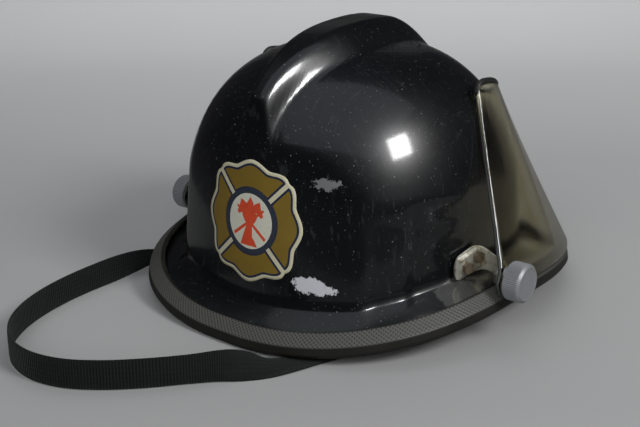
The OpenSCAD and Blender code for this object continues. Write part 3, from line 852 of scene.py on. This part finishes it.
def makeRopeVinyl():
    material, tree, shader = newMaterial("vinylRope", Roughness=0.4)
    uv = addNode(tree, "TexCoord").outputs["UV"]
    slant = addNode(tree, "Mapping", {"Vector": uv, "Scale": (46, 1.6, 1)}).outputs[0]
    strands = addNode(tree, "TexWave", {"Vector": slant, "Scale": 1.0, "Distortion": 0.0},
                      bands_direction="DIAGONAL").outputs["Fac"]
    colour = ramp(tree, strands, (0.3, (0.008, 0.010, 0.022)), (0.8, (0.045, 0.055, 0.075)))
    tree.links.new(colour, shader.inputs["Base Color"])
    return material


def makeBadge(b):
    cream = makeVinyl("vinylCream", (0.52, 0.50, 0.37), (0.40, 0.37, 0.25))
    navy = makeVinyl("vinylNavy", (0.020, 0.026, 0.055), (0.010, 0.014, 0.03))
    gold = makeVinyl("vinylGold", (0.19, 0.125, 0.018), (0.13, 0.085, 0.014))

    # flat plate whose rim turns down to the shell
    def plate(u, v):
        t = 2 * np.pi * u
        r = badgeEdge(t, b) * np.minimum(v / 0.96, 1)
        drop = (b["lift"] - 0.1) * smoothStep(0.96, 1, v)
        return onRearFace(r * np.sin(t), b["z"] + r * np.cos(t), b["lift"] - drop)

    def rope(u, v):
        return 2 * np.pi * u, b["disc"] + (b["ring"] - b["disc"]) * v

    def disc(u, v):
        return 2 * np.pi * u, (b["disc"] + 0.1) * v

    base = gridPiece("badgePlate", 240, 25, plate)
    base.data.materials.append(cream)
    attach(base, "root")
    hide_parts("badge")
    for k in range(4):
        badgeLobe("badgeLobeEdge" + str(k), k, 0.0, 1, navy, b)
        badgeLobe("badgeLobe" + str(k), k, b["outline"], 2, gold, b)
    badgeLayer("badgeRope", 240, 6, rope, 2, makeRopeVinyl(), b)
    white = makeVinyl("vinylWhite", (0.56, 0.56, 0.48), (0.45, 0.44, 0.36))
    badgeLayer("badgeDisc", 96, 10, disc, 3, white, b)
    makeDevice(b)


makeBadge(badgeSettings)
print("badge made")

insideSettings = {
    "bandY": 6.5, "bandZ": 40, "bandHalfX": 76, "bandHalfY": 91, "bandSquareness": 2.2,
    "strapZ": 60, "strapWidth": 19, "strapThick": 1.2,
    "padZ": 119.5, "padHeight": 8, "padRadius": 21,
    "linerThick": 5, "linerDepth": 6,                     # depth below the dome's surface
    "linerTop": 4, "linerSpan": 48,                       # degrees down the dome
}


def bandPoint(a, grow, z, n):
    ca, sa = np.cos(a), np.sin(a)
    r = planRadius(ca, sa, n["bandHalfX"] + grow, n["bandHalfY"] + grow, n["bandSquareness"])
    return np.stack([r * ca, n["bandY"] + r * sa, z], -1) * mm


# a stitched pad that follows the inside of the headband between two angles
def makeBandPad(name, node, start, end, thick, low, high, material, n):
    def place(u, v):
        a = np.radians(start + (end - start) * v)
        taper = np.sqrt(np.clip(1 - np.abs(2 * v - 1) ** 14, 0, 1))
        around = 2 * np.pi * u
        cx, cy = np.cos(around), np.sin(around)
        pillow = np.sign(cx) * np.abs(cx) ** 0.6
        channel = 1 - 0.22 * np.exp(-((v * 7 % 1) - 0.5) ** 2 / 0.006)
        inward = -0.3 - thick * (0.5 - 0.5 * pillow * taper) * np.where(pillow < 0, channel, 1)
        height = (low + high) / 2 + (high - low) / 2 * np.sign(cy) * np.abs(cy) ** 0.7 * taper
        return bandPoint(a, np.minimum(inward, -0.3), n["bandZ"] + height, n)

    pad = gridPiece(name, 40, 160, place, uvSize=(1, 6), capEnds=True)
    pad.data.materials.append(material)
    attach(pad, "root")
    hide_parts(node)


def makeCrownPad(material, n):
    def place(u, v):
        a = 2 * np.pi * u
        side = np.cos(np.pi * v)
        r = n["padRadius"] * np.sin(np.pi * v) ** 0.45
        quilt = 1 - 0.18 * np.exp(-((r - 11) / 1.2) ** 2)
        z = n["padZ"] + n["padHeight"] / 2 * (1 + np.sign(side) * np.abs(side) ** 0.5 * 0.92 * quilt)
        return np.stack([r * np.cos(a), n["bandY"] + r * np.sin(a), z], -1) * mm

    pad = gridPiece("crownPad", 96, 60, place)
    pad.data.materials.append(material)
    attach(pad, "root")
    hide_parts("crown_pad")


def makeCrownStrap(name, node, half, rise, crosswise, material, n):
    def place(u, v):
        a = np.pi * v
        around = 2 * np.pi * u
        wide = np.sign(np.cos(around)) * np.abs(np.cos(around)) ** 0.3 * n["strapWidth"] / 2
        thin = np.sign(np.sin(around)) * np.abs(np.sin(around)) ** 0.5 * n["strapThick"] / 2
        reach = (half + n["strapThick"] / 2 + thin) * np.cos(a)
        z = n["strapZ"] + (rise + n["strapThick"] / 2 + thin) * np.sin(a)
        x, y = (reach, wide) if crosswise else (wide, reach)
        return np.stack([x, n["bandY"] + y, z], -1) * mm

    strap = gridPiece(name, 32, 140, place, uvSize=(2, 14), capEnds=True)
    strap.data.materials.append(material)
    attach(strap, "root")
    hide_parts(node)


def makeLiner(material, n):
    def place(u, v):
        outside = v < 0.5
        down = np.radians(n["linerTop"] + n["linerSpan"] * np.where(outside, v, 1 - v) * 2)
        depth = n["linerDepth"] + np.where(outside, 0, n["linerThick"])[:, None]
        x, y, z = plainDome(2 * np.pi * u, down)
        return shrinkPoint(np.stack([x, cutByFace(x, y, z), z], -1), depth) * mm

    liner = gridPiece("impactLiner", 140, 60, place, capEnds=True)
    liner.data.materials.append(material)
    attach(liner, "root")
    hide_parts("impact_liner")


def makeCloth(name, light, dark, scale, sheen):
    material, tree, shader = newMaterial(name, Roughness=0.85, Sheen_Weight=sheen, Sheen_Roughness=0.5)
    coords = addNode(tree, "TexCoord").outputs["Object"]
    warp = addNode(tree, "TexWave", {"Vector": coords, "Scale": scale, "Distortion": 1.2, "Detail": 1.0},
                   bands_direction="X").outputs["Fac"]
    weft = addNode(tree, "TexWave", {"Vector": coords, "Scale": scale, "Distortion": 1.2, "Detail": 1.0},
                   bands_direction="Z").outputs["Fac"]
    weave = maths(tree, "MULTIPLY", warp, weft)
    worn = maths(tree, "MULTIPLY_ADD", noiseAt(tree, 30, 5), 0.6, maths(tree, "MULTIPLY", weave, 0.4))
    tree.links.new(mixColour(tree, worn, dark, light), shader.inputs["Base Color"])
    bumpFrom(tree, shader, weave, 0.0004, 0.6)
    return material


def makeLeather():
    material, tree, shader = newMaterial("browLeather", Specular_IOR_Level=0.35)
    coords = addNode(tree, "TexCoord").outputs["Object"]
    pores = addNode(tree, "TexVoronoi", {"Vector": coords, "Scale": 900.0}, feature="SMOOTH_F1")
    stains = noiseAt(tree, 26, 5)
    colour = ramp(tree, stains, (0.3, (0.05, 0.022, 0.010)), (0.7, (0.16, 0.08, 0.035)))
    tree.links.new(colour, shader.inputs["Base Color"])
    tree.links.new(maths(tree, "MULTIPLY_ADD", stains, 0.3, 0.35), shader.inputs["Roughness"])
    bumpFrom(tree, shader, pores.outputs["Distance"], 0.0003, 0.7)
    return material


def makeMoulded(name, light, dark, rough, grain=500):
    material, tree, shader = newMaterial(name)
    patches = noiseAt(tree, 40, 5)
    tree.links.new(mixColour(tree, patches, light, dark), shader.inputs["Base Color"])
    tree.links.new(maths(tree, "MULTIPLY_ADD", patches, 0.25, rough), shader.inputs["Roughness"])
    bumpFrom(tree, shader, noiseAt(tree, grain, 3), 0.00015, 0.5)
    return material


padCloth = makeCloth("padCloth", (0.055, 0.055, 0.055), (0.018, 0.018, 0.02), 380, 0.2)
crownCloth = makeCloth("crownCloth", (0.05, 0.055, 0.04), (0.02, 0.024, 0.016), 300, 0.2)
makeBandPad("browPad", "sweatband", 202, 338, 4.6, 2, 30, makeLeather(), insideSettings)
makeBandPad("napePad", "nape_pad", 52, 128, 5.4, 3, 27, padCloth, insideSettings)
makeCrownPad(padCloth, insideSettings)
makeCrownStrap("crownStrapLong", "crown_strap_long", 95.5, 70, False, crownCloth, insideSettings)
makeCrownStrap("crownStrapCross", "crown_strap_cross", 80.5, 73, True, crownCloth, insideSettings)
makeLiner(makeMoulded("linerFoam", (0.045, 0.045, 0.045), (0.022, 0.022, 0.024), 0.7, 700), insideSettings)
dressNode("headband", makeMoulded("bandPlastic", (0.03, 0.03, 0.032), (0.014, 0.014, 0.016), 0.35))
dressNode("suspension_clips", makeMoulded("clipNylon", (0.50, 0.47, 0.36), (0.38, 0.34, 0.24), 0.4))
dressNode("ratchet_housing", makeMoulded("ratchetPlastic", (0.025, 0.025, 0.026), (0.012, 0.012, 0.013), 0.4))
dressNode("ratchet_knob", makeMoulded("ratchetGrip", (0.035, 0.035, 0.036), (0.018, 0.018, 0.02), 0.5))
print("inside made")

roomSettings = {
    "paperTone": 0.84, "paperHalf": 0.38, "mirroredTone": 0.36,
    "key": (-0.80, 0.11, 0.58), "keyDistance": 1.5, "keySize": 0.40, "keyPower": 13,
    "fillPower": 6, "rearPower": 11, "skyPower": 3.4,
    "bendStarts": 0.75, "bendRadius": 0.5, "paperDrop": 0.0006,
}


# seamless paper: flat floor that curves up into a backdrop, away from the camera
def makeSweep(name, halfWide, near, tall, tone, r):
    bend, radius = r["bendStarts"], r["bendRadius"]
    bm = bmesh.new()
    bmesh.ops.create_grid(bm, x_segments=1, y_segments=60, size=1)
    turn = Matrix.Rotation(math.radians(cameraSettings["azimuth"]), 3, "Z")
    run = near + bend + tall
    for vert in bm.verts:
        reach = (vert.co.y + 1) / 2 * run - near
        y, z = reach, 0
        if reach > bend:
            angle = min((reach - bend) / radius, math.pi / 2)
            rest = max(0, reach - bend - radius * math.pi / 2)
            y, z = bend + radius * math.sin(angle), radius * (1 - math.cos(angle)) + rest
        vert.co = turn @ Vector((vert.co.x * halfWide, y, z - r["paperDrop"]))
    paper = finishMesh(bm, name)
    paper.data.materials.append(makePaper(name + "Matte", tone, turn @ Vector((0, 1, 0))))
    return paper


# paper that grows lighter towards the back of the room: a painted gradient of light in its colour
def makePaper(name, tone, back):
    material, tree, shader = newMaterial(name, Roughness=0.95, Specular_IOR_Level=0.0)
    coords = addNode(tree, "TexCoord").outputs["Object"]
    along = addNode(tree, "VectorMath", {0: coords, 1: tuple(back)}, operation="DOT_PRODUCT").outputs["Value"]
    away = maths(tree, "MULTIPLY_ADD", along, 1 / 1.2, 0.2 / 1.2, clamp=True)
    # painted light: the colour brightens away from the camera, standing in for light falling more strongly on
    # the back of the paper
    paintedLightGradient = ramp(tree, away, (0, 0.40), (0.27, 0.48), (0.42, 0.56), (0.55, 0.68), (0.96, 1.0))
    shade = mixColour(tree, paintedLightGradient, (0, 0, 0), (tone, tone, tone))
    mottled = mixColour(tree, noiseAt(tree, 3, 3), (0.95, 0.95, 0.95), (1, 1, 1))
    shade = addNode(tree, "VectorMath", {0: shade, 1: mottled}, operation="MULTIPLY").outputs[0]
    tree.links.new(shade, shader.inputs["Base Color"])
    return material


def addSoftbox(name, direction, distance, size, power, tone=(1, 1, 1), mirrored=True):
    data = bpy.data.lights.new(name, "AREA")
    data.shape = "RECTANGLE"
    data.size, data.size_y = size
    data.energy = power
    data.color = tone
    light = bpy.data.objects.new(name, data)
    bpy.context.scene.collection.objects.link(light)
    aim = Vector(direction).normalized()
    light.location = aim * distance + Vector((0, 0, 0.08))
    light.rotation_euler = aim.to_track_quat("Z", "Y").to_euler()
    light.visible_glossy = mirrored


def makeRoom(r):
    paper = makeSweep("paper", 2.2, 1.4, 1.6, r["paperTone"], r)
    paper.visible_glossy = False
    # a smaller, darker sheet that only reflections see
    mirrored = makeSweep("paperMirrored", r["paperHalf"], 0.30, 1.2, r["mirroredTone"], r)
    mirrored.data.transform(Matrix.Translation((0, 0, 0.0004)))
    mirrored.visible_camera = mirrored.visible_diffuse = mirrored.visible_shadow = False
    mirrored.visible_transmission = False
    addSoftbox("keyLight", r["key"], r["keyDistance"], (r["keySize"], r["keySize"]), r["keyPower"])
    addSoftbox("fillLight", (0.25, -0.35, 1.0), 1.8, (1.6, 1.2), r["fillPower"], mirrored=False)
    addSoftbox("rearLight", (-0.45, 0.85, 0.45), 1.5, (1.0, 0.8), r["rearPower"], mirrored=False)
    addSoftbox("skyLight", (-0.1, 0.35, 1.0), 1.2, (2.0, 1.5), r["skyPower"], (0.86, 0.93, 1.0))
    world = bpy.data.worlds.new("world")
    bpy.context.scene.world = world
    world.use_nodes = True
    world.node_tree.nodes["Background"].inputs["Color"].default_value = (0.02, 0.02, 0.022, 1)
    bpy.context.scene.view_settings.view_transform = "Standard"


makeRoom(roomSettings)
print("room made")
